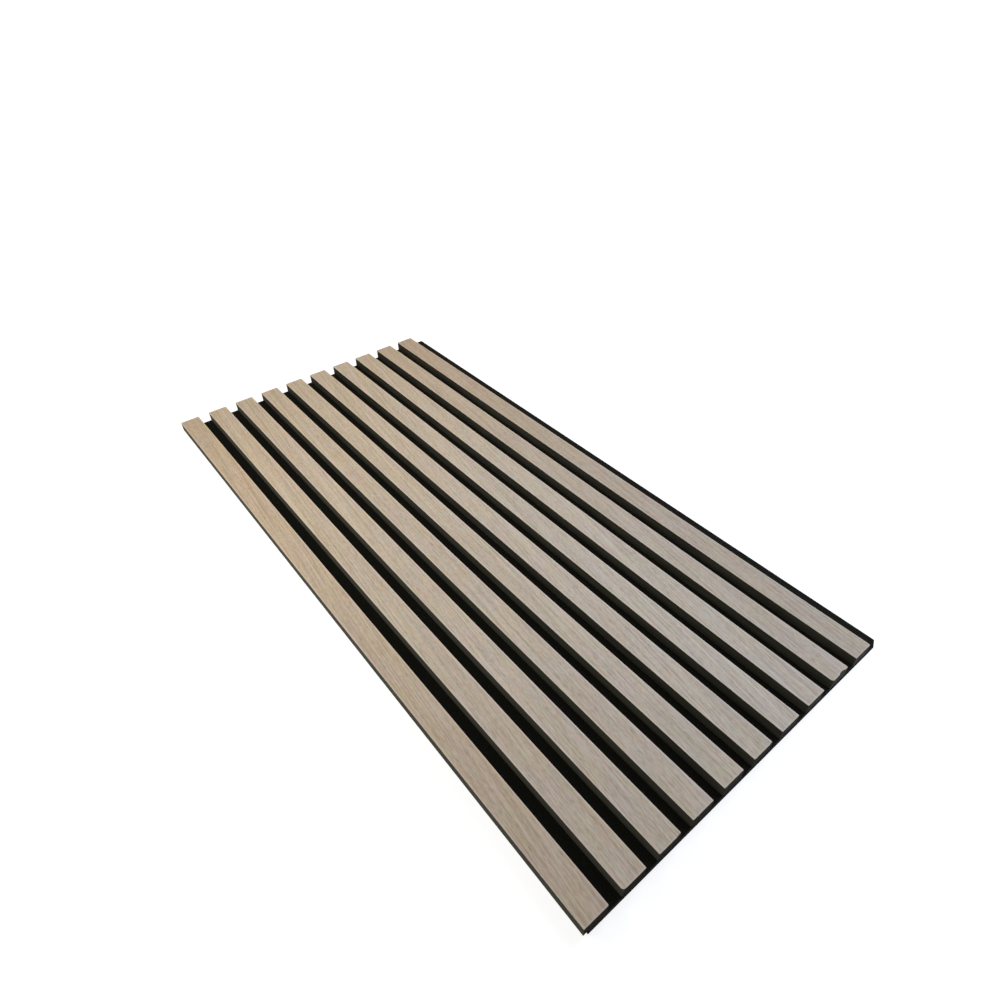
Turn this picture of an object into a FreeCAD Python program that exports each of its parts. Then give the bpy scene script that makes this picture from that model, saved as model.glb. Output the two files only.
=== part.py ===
import FreeCAD, Part
import os
import Sketcher

# Acoustic slat wall panel, lying on its back: oak-faced black slats on a board of black felt.
# X runs across the slats, Y along them and Z out of the face. The origin is the centre of the felt's back.

doc = FreeCAD.newDocument("acoustic_slat_panel")
sizes = doc.addObject("Spreadsheet::Sheet", "sizes")

# Driving dimensions in millimetres, apart from the two counts.
dimensions = [
    ("panel_length", "810", "felt and slats, end to end"),
    ("slat_count", "10", "slats side by side"),
    ("slat_width", "25", "face of one slat"),
    ("slat_gap", "15", "open strip of felt between two slats"),
    ("core_thickness", "12", "fibreboard bar under the veneer"),
    ("veneer_thickness", "0.6", "oak face on the bar"),
    ("veneer_arris", "0.2", "eased long edges of the oak face"),
    ("felt_thickness", "10", "pressed felt board"),
    ("lap_overhang", "6", "first slat past the felt's edge, over the next panel's ledge"),
    ("chip_radius", "3", "corner broken off the second slat's face"),
    ("worn_corner_radius", "2.5", "rounded near left corner of the ninth slat's face"),
    ("bite_middle", "15.5", "left edge of the ninth slat to the middle of the bite in its face"),
    ("bite_depth", "1.3", "bare core in the bite, from the near end"),
    ("bite_radius", "12", "round edge of the bite"),
    ("staple_rows", "7", "staples along one slat"),
    ("staple_end_margin", "30", "panel's end to the middle of the first staple"),
    ("staple_crown", "12.8", "outside width of a staple"),
    ("staple_bite", "6.5", "leg inside the core"),
    ("staple_sink", "0.4", "crown below the felt's back"),
    ("wire_width", "0.95", "staple wire along the slat"),
    ("wire_thickness", "0.65", "staple wire across its flat"),
]
for row, (alias, value, meaning) in enumerate(dimensions, start=1):
    sizes.set(f"A{row}", meaning)
    sizes.set(f"B{row}", value)
    sizes.setAlias(f"B{row}", alias)
doc.recompute()

# Worked-out lengths, as expressions on the sheet.
slat_pitch = "(sizes.slat_width + sizes.slat_gap)"
felt_width = f"(sizes.slat_count * {slat_pitch})"
felt_left = f"(-{felt_width} / 2)"
first_slat_left = f"({felt_left} - sizes.lap_overhang)"
near_end = "(-sizes.panel_length / 2)"
veneer_bottom = "(sizes.felt_thickness + sizes.core_thickness)"

# A staple stands midway across the strip where the first slat lies on felt, and again on every slat.
staple_from_felt_edge = "((sizes.slat_width - sizes.lap_overhang - sizes.staple_crown) / 2)"
staple_from_slat_edge = f"(sizes.lap_overhang + {staple_from_felt_edge})"
staple_from_end = "(sizes.staple_end_margin - sizes.wire_width / 2)"
staple_leg = "(sizes.felt_thickness + sizes.staple_bite - sizes.staple_sink)"
crown_recess = "(sizes.staple_sink + sizes.wire_thickness)"
staple_run = "(sizes.panel_length - 2 * sizes.staple_end_margin)"
slat_run = f"({slat_pitch} * (sizes.slat_count - 1))"


def new_body(label, left, bottom):
    """Start a body whose own origin is the near left lower corner of its piece."""
    body = doc.addObject("PartDesign::Body", label)
    body.setExpression("Placement.Base.x", left)
    body.setExpression("Placement.Base.y", near_end)
    body.setExpression("Placement.Base.z", bottom)
    return body


def origin_feature(body, role):
    return next(feature for feature in body.Origin.OriginFeatures if feature.Role == role)


def flat_sketch(body, name, height="0"):
    """Start a sketch that lies flat in the body, at a height over the body's origin."""
    sketch = body.newObject("Sketcher::SketchObject", name)
    sketch.AttachmentSupport = (origin_feature(body, "XY_Plane"), [""])
    sketch.MapMode = "FlatFace"
    sketch.setExpression("AttachmentOffset.Base.z", height)
    return sketch


sketch_origin = (-1, 1)


def bind_sizes(sketch, tag, bound):
    """Add each constraint to the sketch and tie its value to the sheet."""
    for meaning, kind, places, expression in bound:
        value = float(sizes.evalExpression(expression))
        number = sketch.addConstraint(Sketcher.Constraint(kind, *places, value))
        sketch.renameConstraint(number, f"{tag}_{meaning}")
        sketch.setExpression(f"Constraints.{tag}_{meaning}", expression)


def add_rectangle(sketch, tag, left, near, width, length):
    """Draw a rectangle whose place and size are bound to the sheet."""
    x0 = float(sizes.evalExpression(left))
    y0 = float(sizes.evalExpression(near))
    x1 = x0 + float(sizes.evalExpression(width))
    y1 = y0 + float(sizes.evalExpression(length))
    corners = [FreeCAD.Vector(x, y, 0) for x, y in ((x0, y0), (x1, y0), (x1, y1), (x0, y1))]
    side = [
        sketch.addGeometry(Part.LineSegment(corners[turn], corners[(turn + 1) % 4]))
        for turn in range(4)
    ]
    for turn in range(4):
        sketch.addConstraint(Sketcher.Constraint("Coincident", side[turn], 2, side[(turn + 1) % 4], 1))
    for across in (side[0], side[2]):
        sketch.addConstraint(Sketcher.Constraint("Horizontal", across))
    for along in (side[1], side[3]):
        sketch.addConstraint(Sketcher.Constraint("Vertical", along))
    first_corner = (side[0], 1)
    bind_sizes(sketch, tag, [
        ("left", "DistanceX", (*sketch_origin, *first_corner), left),
        ("near", "DistanceY", (*sketch_origin, *first_corner), near),
        ("width", "DistanceX", (*first_corner, side[0], 2), width),
        ("length", "DistanceY", (side[1], 1, side[1], 2), length),
    ])


def add_pad(body, name, sketch, height):
    pad = body.newObject("PartDesign::Pad", name)
    pad.Profile = sketch
    pad.setExpression("Length", height)
    return pad


def add_pocket(body, name, sketch, depth):
    """Cut upwards from a sketch on the piece's underside."""
    pocket = body.newObject("PartDesign::Pocket", name)
    pocket.Profile = sketch
    pocket.Reversed = True
    pocket.setExpression("Length", depth)
    return pocket


def add_staple_crown(sketch, left):
    add_rectangle(sketch, "crown", left, staple_from_end, "sizes.staple_crown", "sizes.wire_width")


def add_staple_legs(sketch, left):
    right = f"({left} + sizes.staple_crown - sizes.wire_thickness)"
    for tag, leg_left in (("left_leg", left), ("right_leg", right)):
        add_rectangle(sketch, tag, leg_left, staple_from_end, "sizes.wire_thickness", "sizes.wire_width")


def repeat_staples(body, name, features, on_every_slat):
    """Repeat one staple's features along the slat and, where asked, on every slat."""
    pattern = body.newObject("PartDesign::LinearPattern", name)
    pattern.Originals = features
    pattern.Direction = (origin_feature(body, "Y_Axis"), [""])
    pattern.setExpression("Length", staple_run)
    pattern.setExpression("Occurrences", "sizes.staple_rows")
    if on_every_slat:
        pattern.Direction2 = (origin_feature(body, "X_Axis"), [""])
        pattern.setExpression("Length2", slat_run)
        pattern.setExpression("Occurrences2", "sizes.slat_count")
    body.Tip = pattern


def upright_edge(shape, x, y):
    """Name the upright edge that stands at x, y."""
    for number, edge in enumerate(shape.Edges, start=1):
        if all(abs(v.X - x) < 1e-6 and abs(v.Y - y) < 1e-6 for v in edge.Vertexes):
            return f"Edge{number}"
    raise ValueError(f"no upright edge at {x}, {y}")


def upper_long_edges(shape):
    """Name the edges that run the whole length of the upper face."""
    top = shape.BoundBox.ZMax
    longest = max(edge.Length for edge in shape.Edges)
    names = []
    for number, edge in enumerate(shape.Edges, start=1):
        on_top = all(abs(v.Z - top) < 1e-6 for v in edge.Vertexes)
        if on_top and edge.Length > longest / 2:
            names.append(f"Edge{number}")
    return names


def build_felt_backing():
    """Felt board, with a sunk slot and two leg holes for every staple."""
    body = new_body("felt_backing", felt_left, "0")
    outline = flat_sketch(body, "felt_outline")
    add_rectangle(outline, "felt", "0", "0", felt_width, "sizes.panel_length")
    add_pad(body, "felt_board", outline, "sizes.felt_thickness")
    slot = flat_sketch(body, "felt_crown_outline")
    add_staple_crown(slot, staple_from_felt_edge)
    crown_slot = add_pocket(body, "felt_crown_slot", slot, crown_recess)
    holes = flat_sketch(body, "felt_leg_outlines")
    add_staple_legs(holes, staple_from_felt_edge)
    leg_holes = add_pocket(body, "felt_leg_holes", holes, "sizes.felt_thickness")
    repeat_staples(body, "felt_staple_holes", [crown_slot, leg_holes], on_every_slat=True)
    return body


def build_slat_core(number, slat_left):
    """Fibreboard bar, with a blind hole for each staple leg in its underside."""
    label = f"slat_core_{number:02d}"
    body = new_body(label, slat_left, "sizes.felt_thickness")
    outline = flat_sketch(body, f"{label}_outline")
    add_rectangle(outline, "core", "0", "0", "sizes.slat_width", "sizes.panel_length")
    add_pad(body, f"{label}_bar", outline, "sizes.core_thickness")
    holes = flat_sketch(body, f"{label}_leg_outlines")
    add_staple_legs(holes, staple_from_slat_edge)
    leg_holes = add_pocket(body, f"{label}_leg_holes", holes, "sizes.staple_bite")
    repeat_staples(body, f"{label}_staple_holes", [leg_holes], on_every_slat=False)
    return body


def add_bite(body, name):
    """Break a shallow round bite out of the near end of an oak face."""
    centre_from_end = "(sizes.bite_radius - sizes.bite_depth)"
    centre = FreeCAD.Vector(sizes.bite_middle, -float(sizes.evalExpression(centre_from_end)), 0)
    outline = flat_sketch(body, f"{name}_outline")
    circle = outline.addGeometry(Part.Circle(centre, FreeCAD.Vector(0, 0, 1), sizes.bite_radius))
    circle_centre = (circle, 3)
    bind_sizes(outline, "bite", [
        ("middle", "DistanceX", (*sketch_origin, *circle_centre), "sizes.bite_middle"),
        ("centre", "DistanceY", (*circle_centre, *sketch_origin), centre_from_end),
        ("radius", "Radius", (circle,), "sizes.bite_radius"),
    ])
    return add_pocket(body, name, outline, "sizes.veneer_thickness")


def build_slat_veneer(number, slat_left):
    """Oak face. The second and ninth have lost a near corner, and the ninth has a bite out of its near end."""
    label = f"slat_veneer_{number:02d}"
    body = new_body(label, slat_left, veneer_bottom)
    outline = flat_sketch(body, f"{label}_outline")
    add_rectangle(outline, "veneer", "0", "0", "sizes.slat_width", "sizes.panel_length")
    sheet = add_pad(body, f"{label}_sheet", outline, "sizes.veneer_thickness")
    if number == 9:
        sheet = add_bite(body, f"{label}_bite")
    doc.recompute()
    lost_corner_radius = {2: "sizes.chip_radius", 9: "sizes.worn_corner_radius"}
    if number in lost_corner_radius:
        lost_corner = body.newObject("PartDesign::Fillet", f"{label}_lost_corner")
        lost_corner.Base = (sheet, [upright_edge(sheet.Shape, 0, 0)])
        lost_corner.setExpression("Radius", lost_corner_radius[number])
        doc.recompute()
        sheet = lost_corner
    eased = body.newObject("PartDesign::Chamfer", f"{label}_eased_edges")
    eased.Base = (sheet, upper_long_edges(sheet.Shape))
    eased.setExpression("Size", "sizes.veneer_arris")
    return body


def build_back_staples():
    """Wire staples, each a crown and two legs, sunk a little below the felt's back."""
    body = new_body("back_staples", felt_left, "0")
    crown_outline = flat_sketch(body, "staple_crown_outline", "sizes.staple_sink")
    add_staple_crown(crown_outline, staple_from_felt_edge)
    crown = add_pad(body, "staple_crown_wire", crown_outline, "sizes.wire_thickness")
    leg_outline = flat_sketch(body, "staple_leg_outlines", "sizes.staple_sink")
    add_staple_legs(leg_outline, staple_from_felt_edge)
    legs = add_pad(body, "staple_leg_wires", leg_outline, staple_leg)
    repeat_staples(body, "staple_grid", [crown, legs], on_every_slat=True)
    return body


pieces = [build_felt_backing()]
for index in range(int(sizes.slat_count)):
    left_edge = f"({first_slat_left} + {index} * {slat_pitch})"
    pieces.append(build_slat_core(index + 1, left_edge))
    pieces.append(build_slat_veneer(index + 1, left_edge))
pieces.append(build_back_staples())
doc.recompute()

failed = [item.Name for item in doc.Objects if "Invalid" in item.State or "Error" in item.State]
if failed:
    raise RuntimeError(f"features that failed: {failed}")
for piece in pieces:
    if piece.Shape.isNull() or not piece.Shape.isValid():
        raise RuntimeError(f"{piece.Label} has no valid shape")

os.makedirs("parts", exist_ok=True)
for piece in pieces:
    piece.Shape.exportStep(f"parts/{piece.Label}.step")
    box = piece.Shape.BoundBox
    print(
        f"{piece.Label}: {len(piece.Shape.Solids)} solids, {piece.Shape.Volume:.1f} mm3, "
        f"x {box.XMin:.2f} to {box.XMax:.2f}, y {box.YMin:.2f} to {box.YMax:.2f}, "
        f"z {box.ZMin:.2f} to {box.ZMax:.2f}"
    )
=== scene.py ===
import math

import bmesh
import bpy
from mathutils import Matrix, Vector


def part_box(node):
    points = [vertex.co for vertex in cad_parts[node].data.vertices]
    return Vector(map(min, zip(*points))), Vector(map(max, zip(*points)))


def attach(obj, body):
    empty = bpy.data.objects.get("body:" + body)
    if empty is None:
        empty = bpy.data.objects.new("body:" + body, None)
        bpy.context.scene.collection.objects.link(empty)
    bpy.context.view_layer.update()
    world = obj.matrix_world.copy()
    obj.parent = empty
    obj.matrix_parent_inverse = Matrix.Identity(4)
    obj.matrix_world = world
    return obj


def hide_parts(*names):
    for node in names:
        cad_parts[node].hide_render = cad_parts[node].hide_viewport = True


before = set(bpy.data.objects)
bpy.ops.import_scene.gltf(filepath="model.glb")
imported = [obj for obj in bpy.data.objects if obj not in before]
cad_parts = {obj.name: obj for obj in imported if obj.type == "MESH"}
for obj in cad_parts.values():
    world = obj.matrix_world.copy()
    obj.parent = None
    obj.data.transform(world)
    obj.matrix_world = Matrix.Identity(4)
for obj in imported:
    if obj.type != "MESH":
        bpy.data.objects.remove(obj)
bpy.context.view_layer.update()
MM = 0.001


# Felt backing board
# A board of black polyester fibre, needled and hot-pressed, then cut square. The slats are stapled to its
# face, so it shows between them, on the ledge past the last slat, along the cut edges and all over the back.

felt_low, felt_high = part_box("felt_backing")
staple_low, staple_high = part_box("back_staples")
slat_count = 10
staple_rows = 7
staple_crown = 12.8 * MM
wire_width = 0.95 * MM
wire_thickness = 0.65 * MM
felt_edge_round = 0.45 * MM
dimple_depth = 0.85 * MM
dimple_reach = 2.4 * MM
pinch_reach = 9 * MM
pinch_depth = 3 * MM
first_corner_line = 1.5 * MM
corner_line_count = 6
dent_half_x = 11.4 * MM
dent_lines_x = 13
plain_step_x = 9 * MM
dent_half_y = 4.5 * MM
dent_lines_y = 11
plain_step_y = 30 * MM


def evenly(first, last, count):
    """List count numbers spread evenly from first to last."""
    return [first + (last - first) * step / (count - 1) for step in range(count)]


staple_xs = evenly(staple_low.x + staple_crown / 2, staple_high.x - staple_crown / 2, slat_count)
staple_ys = evenly(staple_low.y + wire_width / 2, staple_high.y - wire_width / 2, staple_rows)


def grid_lines(low, high, centres, half_span, fine_count, coarse_step):
    """Place grid lines close together round each centre and far apart between them."""
    lines = [low, high]
    for centre in centres:
        lines += evenly(centre - half_span, centre + half_span, fine_count)
    lines = sorted(line for line in lines if low <= line <= high)
    filled = [lines[0]]
    for line in lines[1:]:
        span = line - filled[-1]
        extra = int(span / coarse_step)
        filled += [filled[-1] + span * step / (extra + 1) for step in range(1, extra + 1)]
        filled.append(line)
    return filled


def dimple(x, y):
    """Depth of the dent that the nearest staple presses into the felt's back."""
    across = min(max(abs(x - centre) - staple_crown / 2, 0.0) for centre in staple_xs)
    along = min(abs(y - centre) for centre in staple_ys)
    return dimple_depth * math.exp(-(across * across + along * along) / dimple_reach ** 2)


def pinch(spot):
    """Move a point of the near right corner back, most at the top, where handling has crushed it."""
    from_corner = (felt_high.x - spot.x) + (spot.y - felt_low.y)
    crushed = max(0.0, 1.0 - from_corner / pinch_reach) * (spot.z - felt_low.z) / (felt_high.z - felt_low.z)
    spot.y += pinch_depth * crushed


def felt_mesh(name):
    """Model the board as two gridded faces joined round the edge, with the edge rounded off."""
    corner_lines = evenly(first_corner_line, pinch_reach, corner_line_count)
    xs = grid_lines(felt_low.x, felt_high.x, staple_xs, dent_half_x, dent_lines_x, plain_step_x)
    xs = sorted(xs + [felt_high.x - inset for inset in corner_lines])
    ys = grid_lines(felt_low.y, felt_high.y, staple_ys, dent_half_y, dent_lines_y, plain_step_y)
    ys = sorted(ys + [felt_low.y + inset for inset in corner_lines])
    model = bmesh.new()
    back = [[model.verts.new((x, y, felt_low.z + dimple(x, y))) for x in xs] for y in ys]
    face = [[model.verts.new((x, y, felt_high.z)) for x in xs] for y in ys]
    for row in range(len(ys) - 1):
        for column in range(len(xs) - 1):
            corners = [(row, column), (row, column + 1), (row + 1, column + 1), (row + 1, column)]
            model.faces.new([face[r][c] for r, c in corners])
            model.faces.new([back[r][c] for r, c in reversed(corners)])
    last_row, last_column = len(ys) - 1, len(xs) - 1
    rim = [(0, column) for column in range(last_column)]
    rim += [(row, last_column) for row in range(last_row)]
    rim += [(last_row, column) for column in range(last_column, 0, -1)]
    rim += [(row, 0) for row in range(last_row, 0, -1)]
    for (r0, c0), (r1, c1) in zip(rim, rim[1:] + rim[:1]):
        model.faces.new((back[r0][c0], back[r1][c1], face[r1][c1], face[r0][c0]))
    model.normal_update()
    square_edges = [edge for edge in model.edges if edge.calc_face_angle(0.0) > math.radians(60)]
    bmesh.ops.bevel(
        model, geom=square_edges, offset=felt_edge_round, segments=2, profile=0.5, affect="EDGES"
    )
    for vertex in model.verts:
        pinch(vertex.co)
    model.normal_update()
    for side in model.faces:
        is_cut = abs(side.normal.z) < 0.5
        side.material_index = 1 if is_cut else 0
    mesh = bpy.data.meshes.new(name)
    model.to_mesh(mesh)
    model.free()
    return mesh


def add_node(tree, kind, inputs=None, **settings):
    """Add a node, set its options, and fill its inputs with values or links."""
    node = tree.nodes.new(kind)
    for option, value in settings.items():
        setattr(node, option, value)
    for socket, value in (inputs or {}).items():
        if isinstance(value, bpy.types.NodeSocket):
            tree.links.new(value, node.inputs[socket])
        else:
            node.inputs[socket].default_value = value
    return node


def new_finish(name):
    """Start a material with one Principled shader and return it with its tree and shader."""
    finish = bpy.data.materials.new(name)
    finish.use_nodes = True
    tree = finish.node_tree
    tree.nodes.clear()
    shader = add_node(tree, "ShaderNodeBsdfPrincipled")
    add_node(tree, "ShaderNodeOutputMaterial", {"Surface": shader.outputs["BSDF"]})
    return finish, tree, shader


def stretched_noise(tree, place, frequency, turn=0.0, detail=2.0, roughness=0.5):
    """Noise with its own frequency per metre along each axis, turned about Z."""
    turned = add_node(tree, "ShaderNodeMapping", {"Vector": place, "Rotation": (0.0, 0.0, turn)})
    scaled = add_node(tree, "ShaderNodeMapping", {"Vector": turned.outputs[0], "Scale": frequency})
    grain = add_node(
        tree, "ShaderNodeTexNoise",
        {"Vector": scaled.outputs[0], "Scale": 1.0, "Detail": detail, "Roughness": roughness},
    )
    return grain.outputs["Fac"]


def fade(tree, value, start, end, low=0.0, high=1.0):
    """Turn a value into a smooth ramp from low to high between start and end."""
    ramp = add_node(
        tree, "ShaderNodeMapRange",
        {"Value": value, "From Min": start, "From Max": end, "To Min": low, "To Max": high},
        interpolation_type="SMOOTHSTEP",
    )
    return ramp.outputs["Result"]


def blend_colours(tree, factor, first, second, mode="MIX"):
    """Mix two colours, each a value or a link."""
    mix = add_node(tree, "ShaderNodeMix", data_type="RGBA", blend_type=mode)
    for socket, value in ((mix.inputs[0], factor), (mix.inputs[6], first), (mix.inputs[7], second)):
        if isinstance(value, bpy.types.NodeSocket):
            tree.links.new(value, socket)
        else:
            socket.default_value = value
    return mix.outputs[2]


def calculate(tree, operation, first, second=0.0):
    """Add a math node and return its value."""
    return add_node(tree, "ShaderNodeMath", {0: first, 1: second}, operation=operation).outputs[0]


def felt_finish(name, ground, fibre, sheen):
    """Matted fibres: three layers of fine streaks that run different ways over a lumpy black ground."""
    finish, tree, shader = new_finish(name)
    place = add_node(tree, "ShaderNodeTexCoord").outputs["Object"]
    strand_frequency = (2600.0, 190.0, 900.0)
    strand_angles = (12, 71, 131)
    layers = [
        stretched_noise(tree, place, strand_frequency, turn=math.radians(angle), detail=1.0)
        for angle in strand_angles
    ]
    matted = calculate(tree, "MAXIMUM", calculate(tree, "MAXIMUM", layers[0], layers[1]), layers[2])
    strands = fade(tree, matted, 0.62, 0.80)
    lumps = stretched_noise(tree, place, (240.0, 240.0, 240.0), detail=3.0)
    patchy = calculate(tree, "MULTIPLY", strands, fade(tree, lumps, 0.3, 0.75, 0.35, 1.0))
    tree.links.new(blend_colours(tree, patchy, ground, fibre), shader.inputs["Base Color"])
    relief = calculate(tree, "ADD", calculate(tree, "MULTIPLY", lumps, 1.6), matted)
    bump = add_node(tree, "ShaderNodeBump", {"Height": relief, "Strength": 0.7, "Distance": 0.5 * MM})
    tree.links.new(bump.outputs[0], shader.inputs["Normal"])
    shader.inputs["Roughness"].default_value = 0.95
    shader.inputs["Specular IOR Level"].default_value = 0.05
    shader.inputs["Sheen Weight"].default_value = sheen
    shader.inputs["Sheen Roughness"].default_value = 0.5
    return finish


felt_board = bpy.data.objects.new("felt_board", felt_mesh("felt_board"))
bpy.context.scene.collection.objects.link(felt_board)
felt_finishes = [
    felt_finish("pressed_felt", (0.0088, 0.0088, 0.0066, 1.0), (0.036, 0.035, 0.0285, 1.0), sheen=0.03),
    felt_finish("cut_felt_edge", (0.0020, 0.0020, 0.0015, 1.0), (0.0080, 0.0078, 0.0063, 1.0), sheen=0.0),
]
for felt_layer in felt_finishes:
    felt_board.data.materials.append(felt_layer)
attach(felt_board, "root")
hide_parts("felt_backing")


# Slat cores
# Ten bars of fibreboard dyed black right through, planed and painted satin black on the sides, then sawn off
# square with the felt. Each lies on the felt and is held by staples driven through it from the back.

slat_numbers = range(1, slat_count + 1)
bar_sizes = ["Left", "Near", "Bottom", "Width", "Length", "Thickness"]
core_edge_round = 0.35 * MM
# The bar sides carry painted light from the left, full at the felt's left edge and gone at the middle.
painted_light_start_x = felt_low.x
painted_light_end_x = 0.0


def new_tree(name, sizes, finishes):
    """Start a Geometry Nodes tree with a named input for each size and finish."""
    tree = bpy.data.node_groups.new(name, "GeometryNodeTree")
    for label in sizes:
        tree.interface.new_socket(label, in_out="INPUT", socket_type="NodeSocketFloat")
    for label in finishes:
        tree.interface.new_socket(label, in_out="INPUT", socket_type="NodeSocketMaterial")
    tree.interface.new_socket("Geometry", in_out="OUTPUT", socket_type="NodeSocketGeometry")
    return tree, tree.nodes.new("NodeGroupInput").outputs


def finish_tree(tree, geometry, dressings):
    """End a tree in Realize Instances and a Set Material for each finish and the faces that it covers."""
    dressed = add_node(tree, "GeometryNodeRealizeInstances", {"Geometry": geometry}).outputs[0]
    for finish, covered in dressings:
        dressed = add_node(
            tree, "GeometryNodeSetMaterial", {"Geometry": dressed, "Selection": covered, "Material": finish}
        ).outputs[0]
    add_node(tree, "NodeGroupOutput", {"Geometry": dressed})


def grow(name, tree, values):
    """Run a tree with these input values and keep the result as a plain mesh."""
    piece = bpy.data.objects.new(name, bpy.data.meshes.new(name))
    bpy.context.scene.collection.objects.link(piece)
    modifier = piece.modifiers.new("grow", "NODES")
    modifier.node_group = tree
    for item in tree.interface.items_tree:
        if item.in_out == "INPUT":
            modifier[item.identifier] = values[item.name]
    view = bpy.context.evaluated_depsgraph_get()
    mesh = bpy.data.meshes.new_from_object(piece.evaluated_get(view), depsgraph=view)
    piece.modifiers.clear()
    piece.data = mesh
    mesh.name = name
    return piece


def bar_box(node):
    """Read a bar's place and sizes from the frame."""
    low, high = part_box(node)
    return dict(zip(bar_sizes, [*low, *(high - low)]))


def bar_path(tree, given):
    """Draw the middle line of a bar from its near end to its far end."""
    middle = calculate(tree, "ADD", given["Left"], calculate(tree, "MULTIPLY", given["Width"], 0.5))
    height = calculate(tree, "ADD", given["Bottom"], calculate(tree, "MULTIPLY", given["Thickness"], 0.5))
    far = calculate(tree, "ADD", given["Near"], given["Length"])
    start = add_node(tree, "ShaderNodeCombineXYZ", {"X": middle, "Y": given["Near"], "Z": height})
    end = add_node(tree, "ShaderNodeCombineXYZ", {"X": middle, "Y": far, "Z": height})
    return add_node(
        tree, "GeometryNodeCurvePrimitiveLine", {"Start": start.outputs[0], "End": end.outputs[0]}
    ).outputs["Curve"]


def rectangle(tree, width, height):
    """Draw a rectangular section."""
    return add_node(
        tree, "GeometryNodeCurvePrimitiveQuadrilateral", {"Width": width, "Height": height}
    ).outputs[0]


def sweep(tree, path, section):
    """Draw a section along a path, with closed ends."""
    return add_node(
        tree, "GeometryNodeCurveToMesh", {"Curve": path, "Profile Curve": section, "Fill Caps": True}
    ).outputs[0]


def flat_shaded(tree, geometry):
    """Shade a mesh flat, so that its edges stay crisp."""
    return add_node(
        tree, "GeometryNodeSetShadeSmooth", {"Geometry": geometry, "Shade Smooth": False}, domain="FACE"
    ).outputs[0]


def core_tree():
    """Sweep a rounded rectangle along the bar, and give its sawn ends their own finish."""
    tree, given = new_tree("slat_core", bar_sizes + ["Edge Round"], ["Painted Side", "Sawn End"])
    section = rectangle(tree, given["Width"], given["Thickness"])
    rounded = add_node(
        tree, "GeometryNodeFilletCurve",
        {"Curve": section, "Radius": given["Edge Round"], "Count": 3}, mode="POLY",
    )
    bar = sweep(tree, bar_path(tree, given), rounded.outputs[0])
    normal = add_node(tree, "GeometryNodeInputNormal").outputs[0]
    facing = add_node(tree, "ShaderNodeSeparateXYZ", {0: normal})
    along = calculate(tree, "ABSOLUTE", facing.outputs["Y"])
    at_end = add_node(tree, "FunctionNodeCompare", {0: along, 1: 0.9}, operation="GREATER_THAN")
    dressings = [(given["Painted Side"], True), (given["Sawn End"], at_end.outputs[0])]
    finish_tree(tree, flat_shaded(tree, bar), dressings)
    return tree


def painted_side():
    """Satin black paint with a brown cast, cloudy, over planer marks, and painted light on the first bars.
    """
    finish, tree, shader = new_finish("painted_side")
    place = add_node(tree, "ShaderNodeTexCoord").outputs["Object"]
    clouds = stretched_noise(tree, place, (70.0, 18.0, 160.0), detail=4.0)
    planed = stretched_noise(tree, place, (900.0, 12.0, 2200.0), detail=1.0)
    sooty = (0.041, 0.040, 0.033, 1.0)
    faded = (0.061, 0.059, 0.049, 1.0)
    painted_light_colour = (0.092, 0.089, 0.074, 1.0)
    paint = blend_colours(tree, fade(tree, clouds, 0.3, 0.7), sooty, faded)
    # Painted light: the sides grow lighter towards the left bars, as if lit from the left.
    across = add_node(tree, "ShaderNodeSeparateXYZ", {0: place}).outputs["X"]
    painted_light_share = fade(tree, across, painted_light_start_x, painted_light_end_x, 1.0, 0.0)
    tree.links.new(blend_colours(tree, painted_light_share, paint, painted_light_colour), shader.inputs["Base Color"])
    tree.links.new(fade(tree, clouds, 0.25, 0.75, 0.62, 0.78), shader.inputs["Roughness"])
    bump = add_node(tree, "ShaderNodeBump", {"Height": planed, "Strength": 0.2, "Distance": 0.12 * MM})
    tree.links.new(bump.outputs[0], shader.inputs["Normal"])
    shader.inputs["Specular IOR Level"].default_value = 0.01
    return finish


def sawn_end():
    """Dyed fibre cut across: rough, layered flat, and greyer than the paint."""
    finish, tree, shader = new_finish("sawn_end")
    place = add_node(tree, "ShaderNodeTexCoord").outputs["Object"]
    layers = stretched_noise(tree, place, (350.0, 350.0, 1500.0), detail=3.0)
    crumbs = stretched_noise(tree, place, (2400.0, 2400.0, 2400.0), detail=2.0)
    black_layer = (0.036, 0.034, 0.031, 1.0)
    grey_layer = (0.112, 0.107, 0.099, 1.0)
    pale_crumb = (0.20, 0.192, 0.178, 1.0)
    dyed = blend_colours(tree, fade(tree, layers, 0.3, 0.7), black_layer, grey_layer)
    spotted = blend_colours(tree, fade(tree, crumbs, 0.6, 0.75, 0.0, 0.5), dyed, pale_crumb)
    tree.links.new(spotted, shader.inputs["Base Color"])
    bump = add_node(tree, "ShaderNodeBump", {"Height": crumbs, "Strength": 0.6, "Distance": 0.2 * MM})
    tree.links.new(bump.outputs[0], shader.inputs["Normal"])
    shader.inputs["Roughness"].default_value = 0.9
    shader.inputs["Specular IOR Level"].default_value = 0.0
    return finish


core_shape = core_tree()
side_finish = painted_side()
end_finish = sawn_end()
for number in slat_numbers:
    node = f"slat_core_{number:02d}"
    core = grow(f"core_bar_{number:02d}", core_shape, {
        **bar_box(node),
        "Edge Round": core_edge_round,
        "Painted Side": side_finish,
        "Sawn End": end_finish,
    })
    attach(core, "root")
    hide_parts(node)


# Oak faces
# Ten leaves of sliced oak, greyed and matt-lacquered, glued on the cores before they were sawn to length.
# The saw left the ends a little ragged. The second and ninth have lost a near corner, and the ninth has a
# bite out of its near end.

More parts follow.
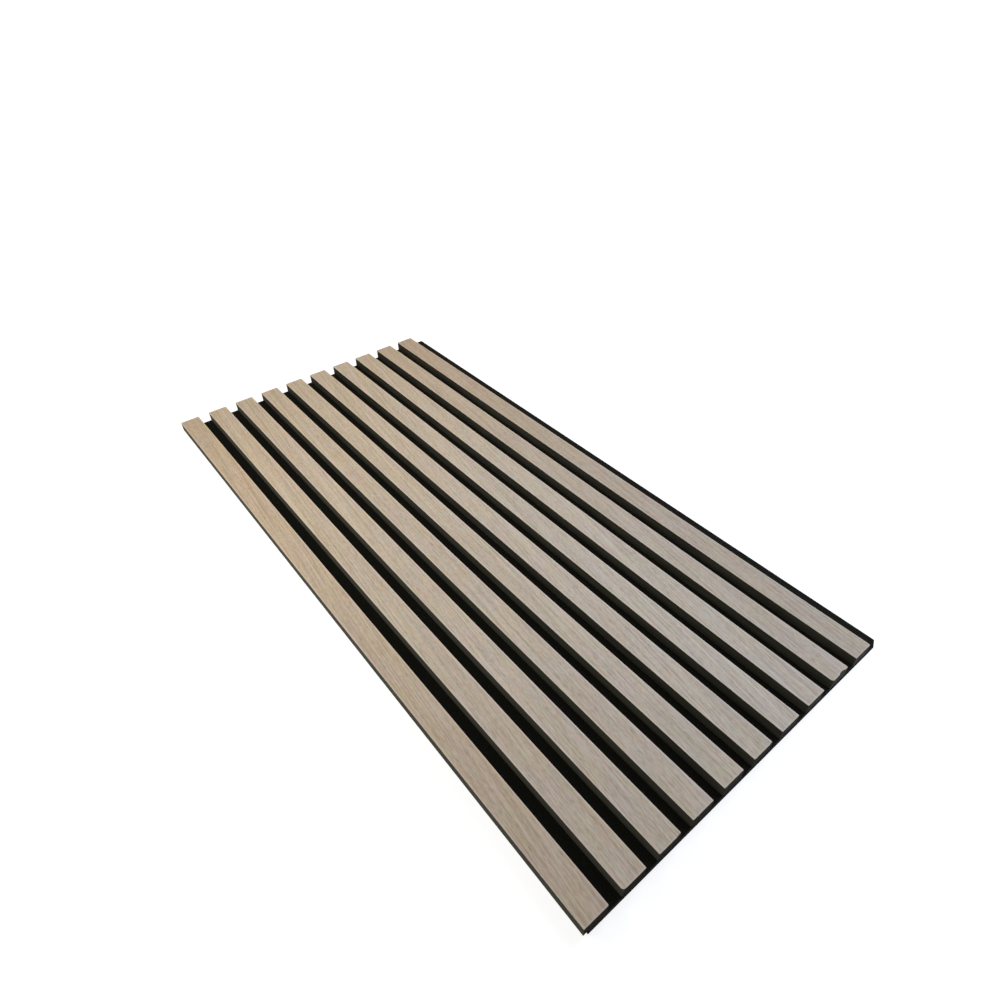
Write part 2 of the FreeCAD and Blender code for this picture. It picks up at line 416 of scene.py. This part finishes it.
chipped_slat = 2
worn_slat = 9
face_end_zone = 14 * MM
face_outline_points = 168
saw_roughness = 0.22 * MM
worn_saw_roughness = 0.5 * MM
near_saw_frequency = 420.0
far_saw_frequency = 380.0
saw_setback = 0.12 * MM
other_setbacks = {4: 0.4 * MM, 5: 0.7 * MM, worn_slat: 0.0}
soft_corner = 0.6 * MM
lost_corners = {chipped_slat: 3.0 * MM, worn_slat: 2.5 * MM}
bite_middle = 15.5 * MM
bite_depth = 1.3 * MM
bite_radius = 12.0 * MM
darker_leaves = {1: 0.96, 9: 0.95, 10: 0.91}
leaf_spacing = (0.613, 1.37, 0.29)
grain_slant = 0.07
steeper_leaves = {6: 0.12, 7: 0.15, 8: 0.14, 9: 0.11, 10: 0.08}
leaf_warmth = [1.0, 0.6, 0.45, 0.4, 0.3, 0.25, 0.05, 0.1, 0.3, 0.45]


def half_chord(tree, radius, offset):
    """Half the chord of a circle at an offset from its centre, or zero outside it."""
    radius_square = calculate(tree, "MULTIPLY", radius, radius)
    offset_square = calculate(tree, "MULTIPLY", offset, offset)
    square = calculate(tree, "SUBTRACT", radius_square, offset_square)
    return calculate(tree, "SQRT", calculate(tree, "MAXIMUM", square, 0.0))


def corner_loss(tree, distance, radius):
    """How far a rounded corner stands back from the end, at a distance from the side."""
    inside = calculate(tree, "MAXIMUM", calculate(tree, "SUBTRACT", radius, distance), 0.0)
    return calculate(tree, "SUBTRACT", radius, half_chord(tree, radius, inside))


def bite_loss(tree, distance, middle, depth, radius):
    """How far a round bite reaches in from the end, at a distance from the side."""
    reach = half_chord(tree, radius, calculate(tree, "SUBTRACT", distance, middle))
    outside = calculate(tree, "SUBTRACT", radius, depth)
    return calculate(tree, "MAXIMUM", calculate(tree, "SUBTRACT", reach, outside), 0.0)


def ragged(tree, across, board, frequency):
    """Uneven line between 0 and 1 across a sawn end, different on every board."""
    step = calculate(tree, "MULTIPLY", across, frequency)
    spot = add_node(tree, "ShaderNodeCombineXYZ", {"X": step, "Y": board})
    wander = add_node(tree, "ShaderNodeTexNoise", {"Vector": spot.outputs[0], "Scale": 1.0, "Detail": 4.0})
    return fade(tree, wander.outputs["Fac"], 0.3, 0.75)


def add_up(tree, values):
    """Add several values together."""
    total = values[0]
    for value in values[1:]:
        total = calculate(tree, "ADD", total, value)
    return total


def place_point(tree, geometry, number, inputs):
    """Move only the point of this number, as Set Position's inputs say."""
    order = add_node(tree, "GeometryNodeInputIndex").outputs[0]
    chosen = add_node(
        tree, "FunctionNodeCompare", {2: order, 3: number}, data_type="INT", operation="EQUAL"
    ).outputs[0]
    return add_node(
        tree, "GeometryNodeSetPosition", {"Geometry": geometry, "Selection": chosen, **inputs}
    ).outputs[0]


def store_mark(tree, geometry, label, value):
    """Keep a value on the mesh's points for its finish to read."""
    return add_node(
        tree, "GeometryNodeStoreNamedAttribute", {"Geometry": geometry, "Name": label, "Value": value},
        data_type="FLOAT", domain="POINT",
    ).outputs[0]


def oak_face_tree():
    """Sweep the veneer leaf along the slat, then eat into its two ends."""
    grain = ["Board", "Tone", "Warmth", "Grain Slant"]
    wear = ["Near Saw", "Far Saw", "Setback", "Left Corner", "Right Corner"]
    bite = ["Bite Middle", "Bite Depth", "Bite Radius"]
    tree, given = new_tree("oak_face", bar_sizes + grain + wear + bite, ["Oak"])
    path = bar_path(tree, given)
    stations = add_node(tree, "GeometryNodeResampleCurve", {"Curve": path, "Count": 4}).outputs[0]
    third = calculate(tree, "DIVIDE", given["Length"], 3.0)
    shift = calculate(tree, "SUBTRACT", third, face_end_zone)
    for station, sign in ((1, -1.0), (2, 1.0)):
        slide = add_node(tree, "ShaderNodeCombineXYZ", {"Y": calculate(tree, "MULTIPLY", shift, sign)})
        stations = place_point(tree, stations, station, {"Offset": slide.outputs[0]})
    section = rectangle(tree, given["Width"], given["Thickness"])
    outline = add_node(
        tree, "GeometryNodeResampleCurve", {"Curve": section, "Count": face_outline_points}
    )
    leaf = sweep(tree, stations, outline.outputs[0])
    position = add_node(tree, "GeometryNodeInputPosition").outputs[0]
    spot = add_node(tree, "ShaderNodeSeparateXYZ", {0: position}).outputs
    from_left = calculate(tree, "SUBTRACT", spot["X"], given["Left"])
    from_right = calculate(tree, "SUBTRACT", given["Width"], from_left)
    from_near = calculate(tree, "SUBTRACT", spot["Y"], given["Near"])
    from_far = calculate(tree, "SUBTRACT", given["Length"], from_near)
    near_rag = ragged(tree, from_left, given["Board"], near_saw_frequency)
    near_loss = add_up(tree, [
        calculate(tree, "MULTIPLY", near_rag, given["Near Saw"]),
        corner_loss(tree, from_left, given["Left Corner"]),
        corner_loss(tree, from_right, given["Right Corner"]),
        given["Setback"],
        bite_loss(tree, from_left, *[given[name] for name in bite]),
    ])
    far_rag = ragged(tree, from_right, given["Board"], far_saw_frequency)
    far_loss = calculate(tree, "MULTIPLY", far_rag, given["Far Saw"])
    at_near = calculate(tree, "LESS_THAN", from_near, face_end_zone / 2)
    at_far = calculate(tree, "LESS_THAN", from_far, face_end_zone / 2)
    push = calculate(
        tree, "SUBTRACT",
        calculate(tree, "MULTIPLY", near_loss, at_near), calculate(tree, "MULTIPLY", far_loss, at_far),
    )
    from_end = calculate(tree, "MINIMUM", from_near, from_far)
    whole = store_mark(tree, leaf, "from_end", from_end)
    inward = add_node(tree, "ShaderNodeCombineXYZ", {"Y": push}).outputs[0]
    worn = add_node(tree, "GeometryNodeSetPosition", {"Geometry": whole, "Offset": inward})
    marks = {
        "board": given["Board"],
        "tone": given["Tone"],
        "warmth": given["Warmth"],
        "slant": given["Grain Slant"],
        "from_left": from_left,
        "from_right": from_right,
    }
    stored = flat_shaded(tree, worn.outputs[0])
    for label, value in marks.items():
        stored = store_mark(tree, stored, label, value)
    finish_tree(tree, stored, [(given["Oak"], True)])
    return tree


def greyed_oak():
    """Oak with its grain on a slant: long soft streaks, fine lines, short dark pores and a mixed tint."""
    finish, tree, shader = new_finish("greyed_oak")
    pale = (0.575, 0.510, 0.423, 1.0)
    dark = (0.380, 0.324, 0.258, 1.0)
    pore = (0.215, 0.170, 0.125, 1.0)
    # Painted highlight colour for the edges, paler than the oak:
    edge_highlight = (0.62, 0.56, 0.48, 1.0)
    rosy = (1.025, 0.978, 0.990, 1.0)
    olive = (0.985, 1.006, 0.985, 1.0)
    honey = (1.006, 1.0, 0.955, 1.0)
    ashen = (0.994, 1.0, 1.045, 1.0)
    amber = (1.0, 0.915, 0.835, 1.0)
    untinted = (1.0, 1.0, 1.0, 1.0)
    marks = {
        label: add_node(tree, "ShaderNodeAttribute", attribute_name=label).outputs["Fac"]
        for label in ("board", "tone", "warmth", "slant", "from_left", "from_right", "from_end")
    }
    place = add_node(tree, "ShaderNodeTexCoord").outputs["Object"]
    spot = add_node(tree, "ShaderNodeSeparateXYZ", {0: place}).outputs
    lean = calculate(tree, "MULTIPLY", calculate(tree, "MULTIPLY", spot["Y"], marks["slant"]), -1.0)
    cut_x, cut_y, cut_z = [calculate(tree, "MULTIPLY", marks["board"], spacing) for spacing in leaf_spacing]
    leaf_shift = add_node(
        tree, "ShaderNodeCombineXYZ", {"X": calculate(tree, "ADD", cut_x, lean), "Y": cut_y, "Z": cut_z}
    )
    leaf = add_node(
        tree, "ShaderNodeVectorMath", {0: place, 1: leaf_shift.outputs[0]}, operation="ADD"
    ).outputs[0]
    drift = fade(tree, stretched_noise(tree, leaf, (9.0, 2.4, 9.0)), 0.2, 0.8, -2.0 * MM, 2.0 * MM)
    sideways = add_node(tree, "ShaderNodeCombineXYZ", {"X": drift}).outputs[0]
    drifted = add_node(tree, "ShaderNodeVectorMath", {0: leaf, 1: sideways}, operation="ADD").outputs[0]
    streaks = stretched_noise(tree, drifted, (620.0, 3.5, 620.0))
    lines = stretched_noise(tree, drifted, (1000.0, 11.0, 1000.0))
    dashes = stretched_noise(tree, drifted, (1150.0, 42.0, 1150.0))
    specks = stretched_noise(tree, drifted, (1250.0, 190.0, 1250.0))
    pores = stretched_noise(tree, drifted, (2600.0, 110.0, 2600.0), detail=1.0)
    blush = stretched_noise(tree, leaf, (150.0, 40.0, 150.0))
    cast = stretched_noise(tree, leaf, (95.0, 26.0, 240.0))
    layer_shares = ((streaks, 0.25), (lines, 0.23), (dashes, 0.25), (specks, 0.27))
    grain = add_up(tree, [calculate(tree, "MULTIPLY", layer, share) for layer, share in layer_shares])
    grained = blend_colours(tree, fade(tree, grain, 0.36, 0.64), dark, pale)
    in_dark_grain = fade(tree, grain, 0.42, 0.58, 0.7, 0.25)
    open_pores = calculate(tree, "MULTIPLY", fade(tree, pores, 0.58, 0.72), in_dark_grain)
    oak_colour = blend_colours(tree, open_pores, grained, pore)
    # Painted highlight: the oak is paler along its long edges and its ends, where the edges catch the light.
    painted_edge_highlights = [
        ("from_left", 0.4 * MM, 2.2 * MM, 0.55),
        ("from_right", 0.3 * MM, 2.0 * MM, 0.75),
        ("from_end", 0.3 * MM, 1.8 * MM, 0.5),
    ]
    for edge, start, end, most in painted_edge_highlights:
        oak_colour = blend_colours(tree, fade(tree, marks[edge], start, end, most, 0.0), oak_colour, edge_highlight)
    tints = [
        blend_colours(tree, fade(tree, blush, 0.3, 0.7), rosy, olive),
        blend_colours(tree, fade(tree, cast, 0.3, 0.7), honey, ashen),
        blend_colours(tree, marks["warmth"], untinted, amber),
        marks["tone"],
    ]
    tinted = oak_colour
    for tint in tints:
        tinted = blend_colours(tree, 1.0, tinted, tint, mode="MULTIPLY")
    tree.links.new(tinted, shader.inputs["Base Color"])
    tree.links.new(fade(tree, grain, 0.35, 0.65, 0.7, 0.52), shader.inputs["Roughness"])
    hollow = calculate(tree, "SUBTRACT", calculate(tree, "MULTIPLY", grain, 0.4), open_pores)
    bump = add_node(tree, "ShaderNodeBump", {"Height": hollow, "Strength": 0.3, "Distance": 0.15 * MM})
    tree.links.new(bump.outputs[0], shader.inputs["Normal"])
    shader.inputs["Specular IOR Level"].default_value = 0.25
    return finish


oak_shape = oak_face_tree()
oak_finish = greyed_oak()
for number in slat_numbers:
    node = f"slat_veneer_{number:02d}"
    oak_face = grow(f"oak_face_{number:02d}", oak_shape, {
        **bar_box(node),
        "Board": float(number),
        "Tone": darker_leaves.get(number, 1.0),
        "Warmth": leaf_warmth[number - 1],
        "Grain Slant": steeper_leaves.get(number, grain_slant),
        "Near Saw": worn_saw_roughness if number == worn_slat else saw_roughness,
        "Far Saw": saw_roughness,
        "Setback": other_setbacks.get(number, saw_setback),
        "Left Corner": lost_corners.get(number, soft_corner),
        "Right Corner": soft_corner,
        "Bite Middle": bite_middle,
        "Bite Depth": bite_depth if number == worn_slat else 0.0,
        "Bite Radius": bite_radius,
        "Oak": oak_finish,
    })
    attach(oak_face, "root")
    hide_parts(node)


# Torn fibres
# Where the bite has bared the ninth slat's core, short tufts of its dyed fibre are torn up. They are part of
# the core and only catch the light more than its sawn end does.

tuft_count = 14
tuft_length = 1.4 * MM
tuft_width = 0.45 * MM
tuft_lean = 0.3
smallest_tuft = 0.5
patch_width = 10.0 * MM


def torn_fibre_tree():
    """Scatter short tufts, each turned its own way, over the bare patch in the bite."""
    patch_sizes = ["Middle", "Near", "Height", "Patch Width", "Patch Depth", "Density"]
    tree, given = new_tree("torn_fibres", patch_sizes + ["Tuft Length", "Tuft Width"], ["Torn Fibre"])
    patch = add_node(
        tree, "GeometryNodeMeshGrid",
        {"Size X": given["Patch Width"], "Size Y": given["Patch Depth"], "Vertices X": 2, "Vertices Y": 2},
    )
    half_depth = calculate(tree, "MULTIPLY", given["Patch Depth"], 0.5)
    centre_y = calculate(tree, "ADD", given["Near"], half_depth)
    centre = add_node(
        tree, "ShaderNodeCombineXYZ", {"X": given["Middle"], "Y": centre_y, "Z": given["Height"]}
    )
    laid = add_node(
        tree, "GeometryNodeTransform", {"Geometry": patch.outputs[0], "Translation": centre.outputs[0]}
    )
    spots = add_node(
        tree, "GeometryNodeDistributePointsOnFaces",
        {"Mesh": laid.outputs[0], "Density": given["Density"], "Seed": 9},
    )
    tuft = add_node(tree, "GeometryNodeMeshIcoSphere", {"Radius": 0.5, "Subdivisions": 1})
    longest = add_node(
        tree, "ShaderNodeCombineXYZ",
        {"X": given["Tuft Length"], "Y": given["Tuft Width"], "Z": given["Tuft Width"]},
    )
    share = add_node(
        tree, "FunctionNodeRandomValue", {2: smallest_tuft, 3: 1.0, "Seed": 4}, data_type="FLOAT"
    ).outputs[1]
    size = add_node(tree, "ShaderNodeVectorMath", {0: longest.outputs[0], "Scale": share}, operation="SCALE")
    least_turn = (-tuft_lean, -tuft_lean, 0.0)
    most_turn = (tuft_lean, tuft_lean, math.pi)
    turn = add_node(
        tree, "FunctionNodeRandomValue", {0: least_turn, 1: most_turn, "Seed": 7}, data_type="FLOAT_VECTOR"
    )
    tufts = add_node(tree, "GeometryNodeInstanceOnPoints", {
        "Points": spots.outputs[0],
        "Instance": tuft.outputs[0],
        "Rotation": turn.outputs[0],
        "Scale": size.outputs[0],
    })
    finish_tree(tree, tufts.outputs[0], [(given["Torn Fibre"], True)])
    return tree


def torn_fibre():
    """Fibre in patches, greyer and paler than the sawn core."""
    finish, tree, shader = new_finish("torn_fibre")
    place = add_node(tree, "ShaderNodeTexCoord").outputs["Object"]
    fibre_patches = stretched_noise(tree, place, (1400.0, 1400.0, 1400.0))
    dark_fibre = (0.14, 0.135, 0.126, 1.0)
    pale_fibre = (0.38, 0.37, 0.355, 1.0)
    grey = blend_colours(tree, fade(tree, fibre_patches, 0.35, 0.65), dark_fibre, pale_fibre)
    tree.links.new(grey, shader.inputs["Base Color"])
    tree.links.new(fade(tree, fibre_patches, 0.35, 0.65, 0.85, 1.0), shader.inputs["Roughness"])
    shader.inputs["Specular IOR Level"].default_value = 0.0
    return finish


worn_low, worn_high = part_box("slat_core_09")
torn = grow("torn_fibres", torn_fibre_tree(), {
    "Middle": worn_low.x + bite_middle,
    "Near": worn_low.y + tuft_length / 2,
    "Height": worn_high.z,
    "Patch Width": patch_width,
    "Patch Depth": bite_depth,
    "Density": tuft_count / (patch_width * bite_depth),
    "Tuft Length": tuft_length,
    "Tuft Width": tuft_width,
    "Torn Fibre": torn_fibre(),
})
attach(torn, "root")


# Back staples
# Galvanised wire staples, shot from the back through the felt into the cores, a row along every slat. Their
# crowns pull a dent into the felt and lie just under its surface.

bend_radius = 0.8 * MM


def staple_tree():
    """Bend one staple from flat wire and set it at every place on a grid."""
    names = ["First X", "First Y", "Crown", "Leg", "Bottom", "Wire Width", "Wire Thickness", "Bend"]
    tree, given = new_tree("back_staples", names + ["Step X", "Step Y"], ["Wire"])
    half = calculate(tree, "MULTIPLY", given["Wire Thickness"], 0.5)
    right = calculate(tree, "SUBTRACT", calculate(tree, "MULTIPLY", given["Crown"], 0.5), half)
    left = calculate(tree, "MULTIPLY", right, -1.0)
    crown_height = calculate(tree, "ADD", given["Bottom"], half)
    top = calculate(tree, "ADD", given["Bottom"], given["Leg"])
    points = [(left, top), (left, crown_height), (right, crown_height), (right, top)]
    corners = [add_node(tree, "ShaderNodeCombineXYZ", {"X": x, "Z": z}).outputs[0] for x, z in points]
    strip = add_node(tree, "GeometryNodeMeshLine", {"Count": len(points)}, mode="OFFSET").outputs[0]
    for number, corner in enumerate(corners):
        strip = place_point(tree, strip, number, {"Position": corner})
    path = add_node(tree, "GeometryNodeMeshToCurve", {"Mesh": strip})
    bent = add_node(
        tree, "GeometryNodeFilletCurve",
        {"Curve": path.outputs[0], "Radius": given["Bend"], "Count": 3, "Limit Radius": True}, mode="POLY",
    )
    wire = sweep(tree, bent.outputs[0], rectangle(tree, given["Wire Thickness"], given["Wire Width"]))
    across = add_node(tree, "ShaderNodeCombineXYZ", {"X": given["Step X"]})
    along = add_node(tree, "ShaderNodeCombineXYZ", {"Y": given["Step Y"]})
    first = add_node(tree, "ShaderNodeCombineXYZ", {"X": given["First X"], "Y": given["First Y"]})
    row = add_node(
        tree, "GeometryNodeMeshLine",
        {"Count": slat_count, "Start Location": first.outputs[0], "Offset": across.outputs[0]},
        mode="OFFSET",
    )
    column = add_node(
        tree, "GeometryNodeMeshLine", {"Count": staple_rows, "Offset": along.outputs[0]}, mode="OFFSET"
    )
    rows = add_node(
        tree, "GeometryNodeInstanceOnPoints", {"Points": column.outputs[0], "Instance": row.outputs[0]}
    )
    grid = add_node(tree, "GeometryNodeRealizeInstances", {"Geometry": rows.outputs[0]})
    staples = add_node(
        tree, "GeometryNodeInstanceOnPoints", {"Points": grid.outputs[0], "Instance": wire}
    )
    finish_tree(tree, staples.outputs[0], [(given["Wire"], True)])
    return tree


def galvanised_wire():
    """Dull zinc with darker smears."""
    finish, tree, shader = new_finish("galvanised_wire")
    place = add_node(tree, "ShaderNodeTexCoord").outputs["Object"]
    smears = stretched_noise(tree, place, (500.0, 900.0, 500.0), detail=3.0)
    bright_zinc = (0.56, 0.57, 0.58, 1.0)
    dull_zinc = (0.36, 0.37, 0.38, 1.0)
    zinc = blend_colours(tree, fade(tree, smears, 0.3, 0.7), bright_zinc, dull_zinc)
    tree.links.new(zinc, shader.inputs["Base Color"])
    tree.links.new(fade(tree, smears, 0.3, 0.7, 0.28, 0.5), shader.inputs["Roughness"])
    shader.inputs["Metallic"].default_value = 1.0
    return finish


staples = grow("wire_staples", staple_tree(), {
    "First X": staple_xs[0],
    "First Y": staple_ys[0],
    "Crown": staple_crown,
    "Leg": staple_high.z - staple_low.z,
    "Bottom": staple_low.z,
    "Wire Width": wire_width,
    "Wire Thickness": wire_thickness,
    "Bend": bend_radius,
    "Step X": staple_xs[1] - staple_xs[0],
    "Step Y": staple_ys[1] - staple_ys[0],
    "Wire": galvanised_wire(),
})
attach(staples, "root")
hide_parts("back_staples")


# Floor, light and camera
# A plain white floor, clear from below, under soft lamps: warm ones at the left and the far side, a cool one
# over the near right, a low one by the near right corner, and one below that lights only the panel's back.
# The camera stands over the near left corner and looks along the slats.

floor_half = 30.0
floor_height = -0.2 * MM
near_glow = 0.84
far_glow = 1.0
glow_rise_start = 0.5
glow_rise_end = 1.2
paper_grey = (0.35, 0.35, 0.35, 1.0)
room_grey = (0.12, 0.12, 0.12, 1.0)
white = (1.0, 1.0, 1.0, 1.0)
black = (0.0, 0.0, 0.0, 1.0)
floor_mesh = bpy.data.meshes.new("floor")
floor_corners = [
    (x * floor_half, y * floor_half, floor_height) for x, y in ((-1, -1), (1, -1), (1, 1), (-1, 1))
]
floor_mesh.from_pydata(floor_corners, [], [(0, 1, 2, 3)])
floor = bpy.data.objects.new("floor", floor_mesh)
bpy.context.scene.collection.objects.link(floor)


def seen_directly(tree):
    """One for a camera, glossy or transmission ray, and zero for light that falls on things."""
    ray = add_node(tree, "ShaderNodeLightPath").outputs
    shiny = calculate(tree, "MAXIMUM", ray["Is Glossy Ray"], ray["Is Transmission Ray"])
    return calculate(tree, "MAXIMUM", ray["Is Camera Ray"], shiny)


def white_floor():
    """White paper that keeps a soft shadow, glows enough to stay white, and is clear from below."""
    finish = bpy.data.materials.new("white_floor")
    finish.use_nodes = True
    tree = finish.node_tree
    tree.nodes.clear()
    paper = add_node(tree, "ShaderNodeBsdfDiffuse", {"Color": paper_grey})
    place = add_node(tree, "ShaderNodeTexCoord").outputs["Object"]
    distance = add_node(tree, "ShaderNodeVectorMath", {0: place}, operation="LENGTH").outputs["Value"]
    brightness = fade(tree, distance, glow_rise_start, glow_rise_end, near_glow, far_glow)
    strength = calculate(tree, "MULTIPLY", seen_directly(tree), brightness)
    glow = add_node(tree, "ShaderNodeEmission", {"Strength": strength})
    both = add_node(tree, "ShaderNodeAddShader", {0: paper.outputs[0], 1: glow.outputs[0]})
    from_below = add_node(tree, "ShaderNodeNewGeometry").outputs["Backfacing"]
    to_lamp = add_node(tree, "ShaderNodeLightPath").outputs["Is Shadow Ray"]
    unseen = calculate(tree, "MAXIMUM", from_below, to_lamp)
    clear = add_node(tree, "ShaderNodeBsdfTransparent")
    shown = add_node(tree, "ShaderNodeMixShader", {0: unseen, 1: both.outputs[0], 2: clear.outputs[0]})
    add_node(tree, "ShaderNodeOutputMaterial", {"Surface": shown.outputs[0]})
    return finish


floor_mesh.materials.append(white_floor())

world = bpy.data.worlds.new("studio")
world.use_nodes = True
bpy.context.scene.world = world
room = world.node_tree
room.nodes.clear()
outward = add_node(room, "ShaderNodeTexCoord").outputs["Generated"]
height = add_node(room, "ShaderNodeSeparateXYZ", {0: outward}).outputs["Z"]
overhead = calculate(room, "GREATER_THAN", height, 0.0)
ambient = blend_colours(room, overhead, black, room_grey)
backdrop = blend_colours(room, seen_directly(room), ambient, white)
sky = add_node(room, "ShaderNodeBackground", {"Color": backdrop, "Strength": 1.0})
add_node(room, "ShaderNodeOutputWorld", {"Surface": sky.outputs[0]})


def soft_lamp(name, place, aim, size, power, colour):
    """Hang a square soft box that faces the panel."""
    lamp = bpy.data.lights.new(name, "AREA")
    lamp.size = size
    lamp.energy = power
    lamp.color = colour
    hung = bpy.data.objects.new(name, lamp)
    hung.location = place
    hung.rotation_euler = (Vector(aim) - Vector(place)).to_track_quat("-Z", "Y").to_euler()
    hung.visible_camera = False
    bpy.context.scene.collection.objects.link(hung)


panel_middle = (0.0, 0.0, 0.0)
right_slat_ends = (0.13, -0.4, 0.016)
soft_lamp("left_lamp", (-0.6, 0.2, 0.55), panel_middle, size=0.5, power=4.1, colour=(1.0, 0.97, 0.84))
soft_lamp("far_lamp", (0.15, 0.4, 0.45), panel_middle, size=0.5, power=1.15, colour=(1.0, 0.76, 0.45))
soft_lamp("near_lamp", (0.3, -0.3, 0.7), panel_middle, size=0.5, power=4.1, colour=(0.65, 0.77, 1.0))
soft_lamp("corner_lamp", (0.25, -0.62, 0.06), right_slat_ends, size=0.1, power=0.3, colour=(0.95, 0.97, 1.0))
soft_lamp("back_lamp", (0.0, 0.0, -0.9), panel_middle, size=0.3, power=6.0, colour=(1.0, 1.0, 1.0))

camera_data = bpy.data.cameras.new("camera")
camera_data.sensor_width = 36.0
camera_data.lens = 24.377
camera_data.clip_start = 0.01
camera = bpy.data.objects.new("camera", camera_data)
camera.location = (-0.345855, -0.494841, 0.565767)
camera.rotation_euler = [math.radians(angle) for angle in (48.646, 0.730, -38.915)]
bpy.context.scene.collection.objects.link(camera)
bpy.context.scene.camera = camera
bpy.context.scene.view_settings.view_transform = "Standard"
